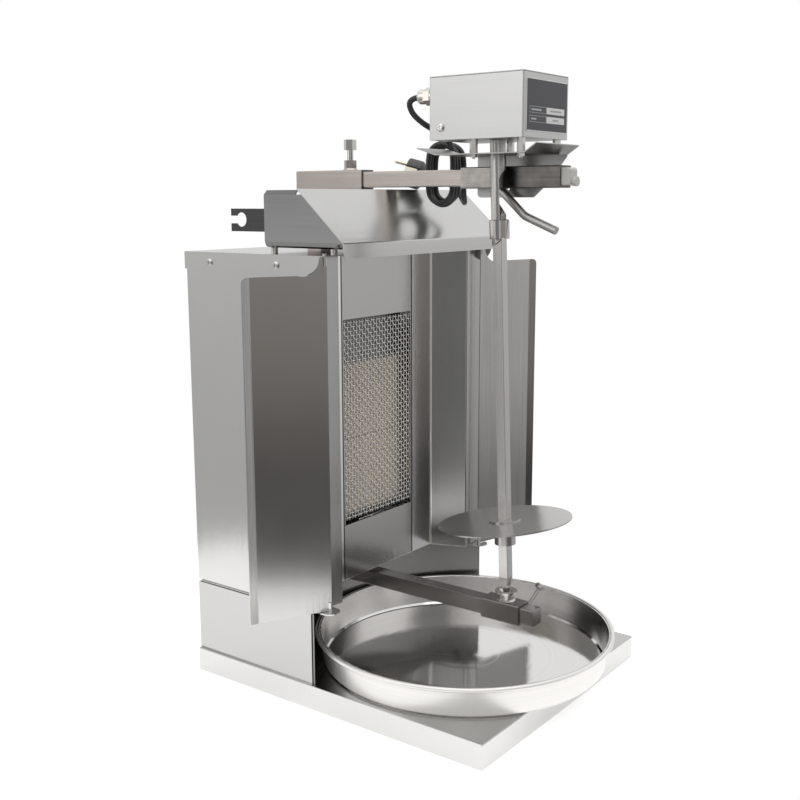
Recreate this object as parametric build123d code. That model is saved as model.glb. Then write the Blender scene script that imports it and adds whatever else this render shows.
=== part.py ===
from build123d import *
import math
import os

# Table-top gas doner grill, in millimetres. The origin is the middle of the base's
# underside, +Z up, +Y towards the burner housing and -Y towards the person who carves.
# The spit stands in front of the burner.

os.makedirs("parts", exist_ok=True)

# base and housing
base_width = 368
base_depth = 436
base_height = 30
sheet = 1.2                 # thickness of the folded stainless sheet
lower_half_width = 180
lower_front = 21            # front corners of the lower box
lower_back = 217
lower_top = 118.8
wall_centre_y = -87         # the concave front wall is an arc round this point
wall_radius = 209.7
housing_half_width = 177
housing_front = 22
housing_back = 220
housing_bottom = 121.9
cover_half_width = 178.4
cover_front = 5
cover_back = 222
cover_top = 539
cover_skirt = 21

# burner and its front
panel_y = 62.7
insert_half_width = 72.6
strip_outer = 115.6
flare_x = 134
flare_y = 15
opening_half_width = 69.6
opening_bottom = 193
opening_top = 455
tile_width = 132
tile_height = 97
tile_depth = 13
tile_face_y = 82
tile_bottom = 200.5
mesh_columns = 12
mesh_rows = 24
mesh_wire = 1.6

# hood over the cover
hood_left = -155            # the hood reaches further to the right than to the left
hood_right = 182
hood_lip_y = -11
hood_lip_z = 552            # where the lip turns into the slope
hood_top = 612.5
hood_slope_y = 56.5
hood_inset = 2              # from the slope's ends to the tray's walls
hood_side_top = 606
hood_floor = 545
hood_back = 111

# arms, carriages and spit
arm_side = 20
sleeve_side = 25
arm_wall = 1.5
upper_arm_x = 25
upper_arm_z = 625
lower_arm_z = 105.5
foot_y = -133.5             # the spit leans: its foot stands further forward than the motor
spit_lean = 2.12            # degrees
drive_y = -113.6            # where the leaning axis passes the drip shield and the motor box
spit_side = 12
spit_foot = 123
spit_top = 594.7
tube_outer = 18.4
tube_inner = 16.8
collar_outer = 23.4
disc_tilt = 4.9             # degrees the disc is welded out of square to its hub
disc_radius = 81
disc_z = 218

# wings
wing_pivot_x = 162
wing_pivot_y = 11
wing_width = 100
wing_lip = 11
left_wing_turn = 153        # degrees from +X to the left wing
right_wing_turn = -16

# pan
pan_x = 3
pan_y = -70
pan_rim_radius = 188.5
pan_floor_radius = 178
pan_rim_z = 69.5

# cord
cord_diameter = 7


def block(x0, x1, y0, y1, z0, z1):
    """A box between two corners."""
    size = (x1 - x0, y1 - y0, z1 - z0)
    return Pos((x0 + x1) / 2, (y0 + y1) / 2, (z0 + z1) / 2) * Box(*size)


def rod(radius, start, end):
    """A round bar from one point to another."""
    line = Edge.make_line(start, end)
    place = Plane(origin=start, z_dir=Vector(*end) - Vector(*start))
    return extrude(place * Circle(radius), line.length)


def hex_bar(across_flats, start, end):
    """A hexagonal bar from one point to another."""
    place = Plane(origin=start, z_dir=Vector(*end) - Vector(*start))
    corner_radius = across_flats / math.sqrt(3)
    return extrude(place * RegularPolygon(corner_radius, 6), (Vector(*end) - Vector(*start)).length)


def shifted(points, offset):
    """The open line moved sideways to its left by the offset, with mitred corners."""
    out = []
    for i, (x, y) in enumerate(points):
        normals = []
        for a, b in ((i - 1, i), (i, i + 1)):
            if a < 0 or b >= len(points):
                continue
            dx = points[b][0] - points[a][0]
            dy = points[b][1] - points[a][1]
            size = math.hypot(dx, dy)
            normals.append((-dy / size, dx / size))
        nx = sum(n[0] for n in normals) / len(normals)
        ny = sum(n[1] for n in normals) / len(normals)
        grow = offset / (nx * nx + ny * ny)
        out.append((x + nx * grow, y + ny * grow))
    return out


def folded_face(points, thickness):
    """The section of a sheet whose one side follows the points."""
    outline = list(points) + shifted(points, thickness)[::-1]
    return make_face(Polyline(*outline, close=True))


def standing_sheet(points, thickness, z0, z1):
    """A sheet folded along a plan line of x and y, standing from z0 to z1."""
    return extrude(Pos(0, 0, z0) * folded_face(points, thickness), z1 - z0)


def yz_plate(points, x0, x1):
    """A flat plate with an outline of y and z, between two values of x."""
    face = make_face(Polyline(*points, close=True))
    return extrude(Plane.YZ.offset(x0) * face, x1 - x0)


def yz_sheet(points, thickness, x0, x1):
    """A sheet folded along a line of y and z, between two values of x."""
    return extrude(Plane.YZ.offset(x0) * folded_face(points, thickness), x1 - x0)


def leaning(shape):
    """A shape made round the Z axis, set on the leaning axis of the spit."""
    return Pos(0, foot_y, spit_foot) * Rot(-spit_lean, 0, 0) * Pos(0, 0, -spit_foot) * shape


def mirrored(shape):
    """The same shape on the other side of the middle plane."""
    return mirror(shape, Plane.YZ)


def square_tube(side, wall, length_axis, centre_x, centre_z, y0, y1):
    """A square tube along Y, or along Z when length_axis is 'z' and centre_z is its y."""
    half = side / 2
    inner = half - wall
    if length_axis == "y":
        outer = block(centre_x - half, centre_x + half, y0, y1, centre_z - half, centre_z + half)
        hollow = block(centre_x - inner, centre_x + inner, y0 - 1, y1 + 1,
                       centre_z - inner, centre_z + inner)
    else:
        outer = block(centre_x - half, centre_x + half, centre_z - half, centre_z + half, y0, y1)
        hollow = block(centre_x - inner, centre_x + inner, centre_z - inner, centre_z + inner,
                       y0 - 1, y1 + 1)
    edges = outer.edges().filter_by(Axis.Y if length_axis == "y" else Axis.Z)
    return fillet(edges, 1.5) - hollow


def pan_screw(place, axis, head_radius, shank_length):
    """A domed cross-head screw; place is where its head meets the sheet."""
    out = Vector(*axis)
    face = Plane(origin=place, z_dir=out)
    head = extrude(face * Circle(head_radius), head_radius * 0.55)
    rim = head.edges().filter_by(GeomType.CIRCLE).sort_by(lambda e: (e.center() - Vector(*place)).length)
    head = fillet(rim[-1], head_radius * 0.4)
    top = Plane(origin=Vector(*place) + out * head_radius * 0.55, z_dir=out)
    arm = head_radius * 0.9
    for turn in (0, 90):
        head -= extrude(top * Rot(0, 0, turn) * Rectangle(arm, head_radius * 0.2), -head_radius * 0.3)
    shank = extrude(face * Circle(head_radius * 0.42), -shank_length)
    return head + shank


def save(name, *shapes):
    """Writes one node; several shapes stay separate solids."""
    shape = shapes[0] if len(shapes) == 1 else Compound(children=list(shapes))
    export_step(shape, f"parts/{name}.step")


def base():
    half = base_width / 2
    deep = base_depth / 2
    tray = block(-half, half, -deep, deep, 0, base_height)
    tray = fillet(tray.edges().filter_by(Axis.Z), 2)
    tray = fillet(tray.faces().sort_by(Axis.Z)[-1].edges(), 1.5)
    wall = 1.5
    tray -= block(-half + wall, half - wall, -deep + wall, deep - wall, wall, base_height - wall)
    save("base_tray", tray)


def wall_sector(inner, outer, z0, z1):
    """The part of a ring round the wall's centre that lies behind the front corners."""
    ring = Pos(0, wall_centre_y, z0) * extrude(Circle(outer) - Circle(inner), z1 - z0)
    keep = block(-lower_half_width, lower_half_width, lower_front, lower_back, z0 - 1, z1 + 1)
    return ring & keep


def lower_box():
    arm_hole = arm_side / 2 + 0.3
    wall = wall_sector(wall_radius, wall_radius + sheet, base_height, lower_top)
    wall -= block(-arm_hole, arm_hole, 100, 140, lower_arm_z - arm_hole, lower_arm_z + arm_hole)
    wall -= rod(2.2, (-168, 0, 40), (-168, 60, 40))
    save("lower_front_wall", wall)
    side_front = lower_front + 4.5
    side = block(lower_half_width - sheet, lower_half_width, side_front, lower_back, base_height, lower_top)
    side -= Pos(0, wall_centre_y, 0) * extrude(Circle(wall_radius + sheet), 200)
    inner = lower_half_width - sheet
    back = block(-inner, inner, lower_back - sheet, lower_back, base_height, lower_top)
    save("lower_shell", side + mirrored(side) + back)

    recess = 2
    deck = block(-lower_half_width + recess, lower_half_width - recess, lower_front, lower_back - recess,
                 lower_top, lower_top + 1.5)
    deck -= Pos(0, wall_centre_y, lower_top - 1) * extrude(Circle(wall_radius + recess), 5)
    for side_sign in (-1, 1):
        lug = Pos(side_sign * wing_pivot_x, wing_pivot_y, lower_top) * extrude(Circle(12), 1.5)
        tongue = block(side_sign * wing_pivot_x - 12, side_sign * wing_pivot_x + 12, wing_pivot_y, 40,
                       lower_top, lower_top + 1.5)
        deck += lug + tongue
    for side_sign in (-1, 1):
        deck -= Pos(side_sign * wing_pivot_x, wing_pivot_y, lower_top - 1) * extrude(Circle(2.55), 5)
    save("lower_deck", deck)


def housing_outline(inset):
    """Plan corners of the upper housing, moved in by the inset."""
    right = [(flare_x, flare_y), (housing_half_width, housing_front), (housing_half_width, housing_back)]
    loop = [(-strip_outer, panel_y), (strip_outer, panel_y)] + right
    loop += [(-x, y) for x, y in reversed(right)]
    closed = loop[-1:] + loop + loop[:1]
    return shifted(closed, inset)[1:-1]


def screw_places():
    """Where the cover's side screws sit: y, z."""
    return [(70, 527), (178, 527)]


def housing():
    top = cover_top - sheet - 0.2
    floor = extrude(Pos(0, 0, lower_top + 1.5) * make_face(Polyline(*housing_outline(1.6), close=True)), 1.5)
    for side_sign in (-1, 1):
        floor -= Pos(side_sign * wing_pivot_x, wing_pivot_y, lower_top) * extrude(Circle(6), 5)
    save("housing_floor", floor)

    side = block(housing_half_width - sheet, housing_half_width, housing_front + 1.4, housing_back,
                 housing_bottom, top)
    for y, z in screw_places():
        side -= rod(2, (150, y, z), (190, y, z))
    save("side_panel_right", side)
    save("side_panel_left", mirrored(side))

    inner = housing_half_width - sheet - 0.1
    back = block(-inner, inner, housing_back - sheet, housing_back, housing_bottom, top)
    for z in (260, 275, 290, 420, 435, 450):
        for x in range(-120, 121, 40):
            slot = extrude(Plane.XZ * Pos(x, z) * SlotOverall(28, 5), 2 * sheet, both=True)
            back -= Pos(0, housing_back - sheet / 2, 0) * slot
    back -= rod(3.06, (100, 200, 182), (100, 230, 182))
    back -= rod(8.2, (100, 200, 152), (100, 230, 152))
    save("back_panel", back)

    line = [(insert_half_width + 0.4, panel_y), (strip_outer, panel_y), (flare_x, flare_y),
            (housing_half_width, housing_front)]
    column = standing_sheet(line, sheet, housing_bottom, top)
    save("front_column_right", column)
    save("front_column_left", mirrored(column))

    insert = block(-insert_half_width, insert_half_width, panel_y, panel_y + sheet, housing_bottom, top)
    insert -= block(-opening_half_width, opening_half_width, panel_y - 1, panel_y + 3,
                    opening_bottom, opening_top)
    save("burner_panel", insert)


def cover():
    inner = cover_half_width - sheet
    skirt_bottom = cover_top - cover_skirt
    plate = block(-cover_half_width, cover_half_width, cover_front, cover_back, cover_top - sheet, cover_top)
    profile = Plane.YZ.offset(inner) * make_face(
        Polyline((cover_front, cover_top), (cover_back, cover_top), (cover_back, skirt_bottom),
                 (cover_front, skirt_bottom), close=True))
    skirt = extrude(profile, sheet)
    corner = skirt.edges().filter_by(Axis.X).sort_by(Axis.Y)[:2].sort_by(Axis.Z)[0]
    skirt = fillet(corner, 20.5)
    back = block(-inner, inner, cover_back - sheet, cover_back, skirt_bottom, cover_top - sheet)
    shell = plate + skirt + mirrored(skirt) + back
    post = sleeve_side / 2 + 0.4
    shell -= block(upper_arm_x - post, upper_arm_x + post, 180 - post, 180 + post, 500, 560)
    for side_sign in (-1, 1):
        shell -= rod(2.55, (side_sign * wing_pivot_x, wing_pivot_y, 530),
                     (side_sign * wing_pivot_x, wing_pivot_y, 545))
        for y, z in screw_places():
            shell -= rod(2, (side_sign * 150, y, z), (side_sign * 190, y, z))
    save("top_cover", shell)

    screws = []
    for side_sign in (-1, 1):
        for y, z in screw_places():
            screws.append(pan_screw((side_sign * cover_half_width, y, z), (side_sign, 0, 0), 4.5, 8))
    save("cover_screws", *screws)


def hood_line(y):
    """Height of the sloping sheet's outer face."""
    rise = (hood_top - hood_lip_z) / (hood_slope_y - hood_lip_y)
    return hood_lip_z + (y - hood_lip_y) * rise


def hood():
    slope = yz_sheet([(hood_lip_y, 535), (hood_lip_y, hood_lip_z), (hood_slope_y, hood_top)], -sheet,
                     hood_left, hood_right)
    lip_ends = slope.edges().filter_by(Axis.Y).group_by(Axis.Z)[0]
    slope = fillet(lip_ends, 6)
    save("hood_front", slope)

    under = 3.2             # keeps the tray's walls below the sloping sheet
    front = hood_lip_y + 1.6
    left = hood_left + hood_inset
    right = hood_right - hood_inset
    flange = 5.3
    flange_y = 62           # in front of it the walls have no flange
    bend = 7
    soft = bend * 0.3
    section = [(left + flange, hood_side_top + flange), (left, hood_side_top), (left, hood_floor + bend),
               (left + soft, hood_floor + soft), (left + bend, hood_floor),
               (right - bend, hood_floor), (right - soft, hood_floor + soft), (right, hood_floor + bend),
               (right, hood_side_top), (right - flange, hood_side_top + flange)]
    pan = extrude(Plane.XZ.offset(-hood_back) * folded_face(section, sheet), hood_back - front)
    corner_y = hood_lip_y + (hood_side_top + under - hood_lip_z) * (hood_slope_y - hood_lip_y) / (
        hood_top - hood_lip_z)
    cut = yz_plate([(front - 1, hood_line(front - 1) - under), (corner_y, hood_side_top),
                    (flange_y, hood_side_top + 0.2), (flange_y, 640), (front - 1, 640)], -200, 200)
    save("hood_pan", pan - cut)
    spacers = []
    for x in (left + 9, right - 9):
        for y in (12, 104):
            spacers.append(rod(4, (x, y, cover_top), (x, y, hood_floor)))
    save("hood_spacers", *spacers)

    bracket_x = left + 7.4
    plate = yz_plate([(84, 566), (hood_back, 563), (173, 563), (173, 590), (hood_back, 590), (84, 587)],
                     bracket_x, bracket_x + sheet)
    plate -= rod(8.5, (bracket_x - 4, 156, 577), (bracket_x + 5, 156, 577))
    plate -= block(bracket_x - 4, bracket_x + 5, 156, 180, 572.5, 581.5)
    tab = block(left + sheet + 0.1, bracket_x, 84, 84 + sheet, 570, 584)
    save("fork_bracket", plate + tab)


def burner():
    half = opening_half_width + 2.4
    low, high = opening_bottom - 3, opening_top + 3
    mesh = block(-half, half, panel_y + sheet + 0.3, panel_y + sheet + 1.5, low, high)
    step_x = 2 * opening_half_width / mesh_columns
    step_z = (opening_top - opening_bottom) / mesh_rows
    face = Plane.XZ * make_face(Polyline((-half, low), (half, low), (half, high), (-half, high), close=True))
    gaps = []
    for column in range(mesh_columns):
        for row in range(mesh_rows):
            x = -opening_half_width + (column + 0.5) * step_x
            z = opening_bottom + (row + 0.5) * step_z
            gaps.append(Pos(x, 0, z) * (Plane.XZ * Rectangle(step_x - mesh_wire, step_z - mesh_wire)))
    net = extrude(face - gaps, -1.2)
    save("burner_mesh", Pos(0, panel_y + sheet + 0.3 - net.bounding_box().min.Y, 0) * net)

    half_tile = tile_width / 2
    seam = 1
    tiles = [block(-half_tile, half_tile, tile_face_y, tile_face_y + tile_depth, z, z + tile_height)
             for z in (tile_bottom, tile_bottom + tile_height + seam)]
    save("ceramic_tiles", *tiles)
    tiles_top = tile_bottom + 2 * tile_height + seam
    rim = 2
    box = block(-half_tile - rim, half_tile + rim, tile_face_y + 1, 128, tile_bottom - rim, tiles_top + rim)
    box -= block(-half_tile - 0.1, half_tile + 0.1, 70, tile_face_y + tile_depth + 0.1,
                 tile_bottom - 0.1, tiles_top + 0.1)
    box -= block(-half_tile + 4, half_tile - 4, 90, 126, tile_bottom + 4, tiles_top - 4)
    flange = block(-76, 76, tile_face_y + 3, tile_face_y + 4.5, 188, 464)
    flange -= block(-half_tile - 1, half_tile + 1, 70, 100, tile_bottom - 1, tiles_top + 1)
    throat = rod(11, (0, 112, 150), (0, 112, tile_bottom - rim + 0.5))
    throat -= rod(9.5, (0, 112, 140), (0, 112, tile_bottom - rim + 1))
    hole = rod(9.5, (0, 112, tile_bottom - rim - 1), (0, 112, tile_bottom + 6))
    bracket = block(75.5, 77, panel_y + sheet, tile_face_y + 4.5, 230, 360)
    save("burner_body", (box + flange + throat + bracket + mirrored(bracket)) - hole)

    injector = rod(6, (0, 112, 140), (0, 112, 152)) - rod(0.9, (0, 112, 139), (0, 112, 153))
    arms = block(-11, 11, 110, 114, 146, 150)
    injector += arms - rod(5, (0, 112, 140), (0, 112, 160))
    route = [(0, 112, 140), (0, 112, 131), (0, 202, 131), (75, 202, 131), (75, 202, 152), (90, 202, 152)]
    line = FilletPolyline(*route, radius=6)
    pipe = sweep(Plane(origin=line @ 0, z_dir=line % 0) * Circle(3), path=line)
    save("gas_pipe", pipe + injector)
    valve = block(90, 110, 190, 216, 142, 192)
    valve = fillet(valve.edges().filter_by(Axis.Y), 4)
    valve -= rod(3.06, (100, 200, 182), (100, 230, 182))
    save("gas_valve", valve)
    inlet = rod(8, (100, 216, 152), (100, 219, 152)) + hex_bar(17, (100, 220.2, 152), (100, 227, 152))
    inlet += rod(8, (100, 219, 152), (100, 220.2, 152)) + rod(4.5, (100, 227, 152), (100, 247, 152))
    for y in (231, 236, 241):
        inlet += Pos(100, y, 152) * Rot(-90, 0, 0) * extrude(Circle(4.5), 4, taper=-8)
    inlet -= rod(2.5, (100, 217, 152), (100, 260, 152))
    save("gas_inlet", inlet)
    knob = rod(17, (100, 223, 182), (100, 238, 182))
    knob = fillet(knob.edges().filter_by(GeomType.CIRCLE).sort_by(Axis.Y)[-1], 3)
    knob += block(95, 105, 236, 243, 167, 197)
    knob += rod(3, (100, 201, 182), (100, 223.5, 182))
    save("gas_knob", knob)


def arms():
    post_y = 180
    save("arm_post", square_tube(sleeve_side, 2, "z", upper_arm_x, post_y, housing_bottom,
                                 upper_arm_z - sleeve_side / 2))
    sleeve = square_tube(sleeve_side, 2, "y", upper_arm_x, upper_arm_z, 98, 209)
    sleeve -= rod(4.3, (upper_arm_x, 126, 630), (upper_arm_x, 126, 650))
    top = upper_arm_z + sleeve_side / 2
    nut = hex_bar(14, (upper_arm_x, 126, top), (upper_arm_x, 126, 650))
    weld = Pos(upper_arm_x, 126, top) * extrude(Circle(10), 2.5, taper=40)
    save("upper_arm_sleeve", sleeve + ((nut + weld) - rod(4.06, (upper_arm_x, 126, 620), (upper_arm_x, 126, 660))))
    bolt = rod(4, (upper_arm_x, 126, upper_arm_z + arm_side / 2), (upper_arm_x, 126, 664))
    head = hex_bar(14.2, (upper_arm_x, 126, 663), (upper_arm_x, 126, 676))
    bolt += head
    save("arm_clamp_screw", bolt)

    half = arm_side / 2
    save("upper_arm", square_tube(arm_side, arm_wall, "y", upper_arm_x, upper_arm_z, -188, 205))
    cap = block(upper_arm_x - half, upper_arm_x + half, -199, -188, upper_arm_z - half, upper_arm_z + half)
    cap = fillet(cap.edges().filter_by(Axis.Y), 2)
    cap = fillet(cap.faces().sort_by(Axis.Y)[0].edges(), 4)
    save("upper_arm_cap", cap + rod(5.4, (upper_arm_x, -203.5, 619.5), (upper_arm_x, -199, 619.5)))
    lower = square_tube(arm_side, arm_wall, "y", 0, lower_arm_z, -177, lower_back - sheet)
    lower += block(-half + 0.5, half - 0.5, -177, -175.5, lower_arm_z - half + 0.5, lower_arm_z + half - 0.5)
    save("lower_arm", lower)


def lower_carriage():
    y0, y1 = -158, -105
    sleeve = square_tube(sleeve_side, 2, "y", 0, lower_arm_z, y0, y1)
    sleeve -= rod(2.06, (8, -151, lower_arm_z), (20, -151, lower_arm_z))
    nut = hex_bar(8, (12.5, -151, lower_arm_z), (16.5, -151, lower_arm_z))
    sleeve += nut - rod(2.06, (10, -151, lower_arm_z), (20, -151, lower_arm_z))
    save("lower_carriage_sleeve", sleeve)
    top = lower_arm_z + sleeve_side / 2
    cup = rod(9.5, (0, foot_y, top), (0, foot_y, 127.6)) + rod(13.6, (0, foot_y, 127.5), (0, foot_y, 130))
    cup += Pos(0, foot_y, top) * extrude(Circle(11.5), 2, taper=44)
    pit = Pos(0, foot_y, spit_foot - 0.7) * extrude(Circle(2.8), 8, taper=-36)
    save("bearing_cup", cup - pit)
    bend = Vector(21, -151, lower_arm_z)
    knob = Vector(38.5, -158.5, 127.5)
    line = FilletPolyline((10.2, -151, lower_arm_z), bend, knob, radius=5)
    bar = sweep(Plane(origin=line @ 0, z_dir=line % 0) * Circle(2), path=line)
    way = (knob - bend).normalized()
    cap = rod(6.2, tuple(knob - way * 2.5), tuple(knob + way * 4))
    save("carriage_clamp_handle", bar + fillet(cap.edges().filter_by(GeomType.CIRCLE), 2))


def motor_carriage():
    save("carriage_sleeve", square_tube(sleeve_side, 2, "y", upper_arm_x, upper_arm_z, -188, -54))
    plate = yz_plate([(-182, 650), (-62, 650), (-62, 602), (-139, 602), (-151, 612), (-171.5, 635),
                      (-182, 648)], 37.6, 40.1)
    plate = fillet(plate.edges().filter_by(Axis.X).sort_by(lambda e: -e.center().Y + e.center().Z)[0], 5)
    plate -= rod(1.8, (30, -105.4, 612), (50, -105.4, 612))
    plate += block(40.1, 58, -150, -112, 647.5, 650)
    save("bracket_plate", plate)

    x = upper_arm_x
    under = upper_arm_z - sleeve_side / 2
    line = FilletPolyline((x, -94, 618.7), (x, -136, 580.7), (x, -178, 564), radius=22)
    bar = sweep(Plane(origin=line @ 0, z_dir=line % 0) * Circle(4.8), path=line)
    bar -= block(0, 50, -200, 0, under, 640)
    save("carriage_handle", bar)

    shield = yz_sheet([(-186, 660), (-171, 650.1), (-52, 650.1)], 1.2, -38, 60)
    shield += yz_sheet([(-60, 650.1), (-52, 650.1), (-26, 658)], 1.2, -38, 28)
    shield -= rod(11, (0, drive_y, 640), (0, drive_y, 670))
    posts = []
    for px in (-30, 50):
        for py in (-162, -100):
            shield -= rod(2.1, (px, py, 640), (px, py, 670))
            post = hex_bar(8, (px, py, 651.3), (px, py, 667)) + rod(2, (px, py, 645), (px, py, 652))
            posts.append(post + hex_bar(7, (px, py, 646.6), (px, py, 650.1)))
    save("drip_shield", shield)
    save("shield_standoffs", *posts)

    x0, x1, y0, y1, z0, z1 = -38, 63, -169, -44, 667, 738
    lid = block(x0, x1, y0, y1, z0, z1)
    lid = fillet(lid.edges().filter_by(Axis.Z), 1.6)
    lid = fillet(lid.faces().sort_by(Axis.Z)[-1].edges(), 1.4)
    lid -= block(x0 + sheet, x1 - sheet, y0 + sheet, y1 - sheet, z0 - 1, z1 - sheet)
    lid -= rod(7.7, (-20, -60, 718), (-20, -30, 718))
    for wall_x in (x0, x1):
        lid -= rod(2.05, (wall_x - 5, -60, 681), (wall_x + 5, -60, 681))
    save("motor_box_lid", lid)
    gap = 0.2
    floor = block(x0 + sheet + gap, x1 - sheet - gap, y0 + sheet + gap, y1 - sheet - gap, z0, z0 + 1.6)
    floor -= rod(9.8, (0, drive_y, 660), (0, drive_y, 680))
    save("motor_box_floor", floor)
    save("motor_box_screws", pan_screw((x0, -60, 681), (-1, 0, 0), 4.8, 6),
         pan_screw((x1, -60, 681), (1, 0, 0), 4.8, 6))
    label = Plane.XZ.offset(-y0) * Pos(13.5, 702) * RectangleRounded(93, 57, 3)
    save("label_plate", extrude(label, 0.6))

    gearbox = rod(30, (0, 0, 670.6), (0, 0, 692)) + rod(18, (8, 0, 691.9), (8, 0, 722))
    save("gear_motor", leaning(gearbox - rod(4.06, (0, 0, 660), (0, 0, 680))))

    gland = hex_bar(19, (-20, -44, 718), (-20, -38.5, 718)) + rod(7.6, (-20, -50, 718), (-20, -44, 718))
    dome = rod(8.6, (-20, -38.5, 718), (-20, -17, 718))
    dome = fillet(dome.edges().filter_by(GeomType.CIRCLE).sort_by(Axis.Y)[-1], 4)
    ring = hex_bar(18, (-20, -36.5, 718), (-20, -28, 718))
    gland = gland + dome + ring
    gland -= rod(3.3, (-20, -60, 718), (-20, -16, 718))
    save("cable_gland", gland)


def tube_along(points, radii, name):
    """A round cord along straight runs joined by tangent arcs; prints what a check reads."""
    line = FilletPolyline(*points, radius=radii)
    tube = sweep(Plane(origin=line @ 0, z_dir=line % 0) * Circle(cord_diameter / 2), path=line)
    section = math.pi * cord_diameter ** 2 / 4
    print(name, "radii", [round(r, 1) for r in radii], "volume", round(tube.volume),
          "section times length", round(section * line.length), "length", round(line.length))
    return tube


def bend_radii(points):
    """For each corner, 0.45 of the shorter run over the tangent of half the turn."""
    radii = []
    for a, b, c in zip(points, points[1:], points[2:]):
        before = Vector(*b) - Vector(*a)
        after = Vector(*c) - Vector(*b)
        turn = math.radians(before.get_angle(after))
        radii.append(0.45 * min(before.length, after.length) / math.tan(turn / 2))
    return radii


coil_x = 47.5               # plane of the first strand
coil_y = -19                # upright strands nearest the spit
coil_top = 646.5            # where the upright strands start to bend
coil_bottom = 615.5
coil_start = 636
coil_end = 624
coil_pitch = 7.8            # between neighbouring loops
coil_turns = [              # radius and how much lower the bend starts, for each half turn
    (20, 0), (19.6, -2), (20.6, 1.5), (20.2, 1), (19.2, -1), (20.4, 0)]


def coil_line():
    """Tall loops side by side: each half turn starts and ends upright and leans sideways."""
    x, y, z = coil_x, coil_y, coil_start
    pieces = []
    for k, (radius, drop) in enumerate(coil_turns):
        low = k % 2 == 0
        side = 1 if low else -1
        turn_z = (coil_bottom if low else coil_top) - drop
        pieces.append(Edge.make_line((x, y, z), (x, y, turn_z)))
        end_x, end_y = x + coil_pitch / 2, y + side * 2 * radius
        reach = math.hypot(end_x - x, end_y - y) / 2
        crown = ((x + end_x) / 2, (y + end_y) / 2, turn_z - side * reach)
        pieces.append(Edge.make_three_point_arc((x, y, turn_z), crown, (end_x, end_y, turn_z)))
        x, y, z = end_x, end_y, turn_z
    pieces.append(Edge.make_line((x, y, z), (x, y, coil_end)))
    return Wire(pieces)


def least_gap(line, count=900):
    """The least clear distance between stretches of the coil that aren't neighbours."""
    points = [line @ (i / count) for i in range(count + 1)]
    apart = int(count * 3 * cord_diameter / line.length) + 1
    least = min((points[i] - points[j]).length
                for i in range(len(points)) for j in range(i + apart, len(points)))
    return least - cord_diameter


lead_route = [(-20, -17, 718), (-20.6, -1.5, 716.8), (-18, -3, 702), (-9, -12, 690), (6, -21, 681),
              (24, -25, 674), (39, -22.5, 665), (47.5, -19, 650), (47.5, -19, 636)]
tail_route = [(70.9, -19.8, 624), (70.9, -19.8, 606), (83.5, -13.5, 595), (98, -1.7, 597),
              (101.4, 9.6, 612), (95.6, 18.9, 619.7), (92.7, 25.1, 621.6)]
plug_turn = 22              # degrees the earth contact looks up from level


def plug():
    """A round earthed plug: grip, head with its two side contacts, and two pins."""
    rear = Vector(*tail_route[-1])
    way = (rear - Vector(*tail_route[-2])).normalized()
    place = Plane(origin=rear, x_dir=Vector(-1, 0, 0) - way * way.dot(Vector(-1, 0, 0)), z_dir=way)
    place = place.rotated((0, 0, plug_turn))
    outline = [(0, 0), (5, 0), (6, 8), (11, 12), (12.5, 28), (18.5, 32), (18.5, 50), (17.5, 51), (0, 51)]
    body = revolve(make_face(Polyline(*[(x, 0, z) for x, z in outline], close=True)), Axis.Z)
    for side in (-1, 1):
        body -= block(side * 17.2 - 1.6, side * 17.2 + 1.6, -4.5, 4.5, 34, 52)
    body = body & Cylinder(18.5, 120)
    for side in (-1, 1):
        body += rod(2.4, (0, side * 9.5, 50.5), (0, side * 9.5, 70))
    return place * body


def cord():
    line = coil_line()
    coil = sweep(Plane(origin=line @ 0, z_dir=line % 0) * Circle(cord_diameter / 2), path=line)
    section = math.pi * cord_diameter ** 2 / 4
    start, end = line @ 0, line @ 1
    print("coil from", start, "to", end, "length", round(line.length), "volume", round(coil.volume),
          "section times length", round(section * line.length), "least gap", round(least_gap(line), 2))
    save("cord_coil", coil)
    save("cord_lead", tube_along(lead_route, bend_radii(lead_route), "lead"))
    save("cord_tail", tube_along(tail_route, bend_radii(tail_route), "tail"))
    save("power_plug", plug())


def wings():
    bend = wing_width - wing_lip
    body_top = 517.2
    for name, turn, side in (("left", left_wing_turn, 1), ("right", right_wing_turn, -1)):
        lip_turn = math.radians(side * 14)
        lip_end = (bend + wing_lip * math.cos(lip_turn), wing_lip * math.sin(lip_turn))
        plate = standing_sheet([(-2, -sheet / 2), (bend, -sheet / 2), (lip_end[0], lip_end[1] - sheet / 2)],
                               sheet, 121, 537)
        plate -= block(25, 120, -10, 20, body_top, 560)
        for z, radius in ((body_top, 6), (121, 3)):
            corner = [e for e in plate.edges() if e.length < 2 and abs(e.center().Z - z) < 0.1
                      and e.center().X > bend + wing_lip - 2.5]
            plate = fillet(corner, radius)
        notch = extrude(Plane.XZ * Pos(26, 536) * Circle(20), 20, both=True)
        plate -= notch
        pins = [rod(2.5, (0, 0, 116.5), (0, 0, 131)), rod(2.5, (0, 0, 527), (0, 0, 541))]
        place = Pos(-side * wing_pivot_x, wing_pivot_y, 0) * Rot(0, 0, turn)
        save(f"wing_{name}", place * plate)
        save(f"wing_pins_{name}", *[place * pin for pin in pins])


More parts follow.
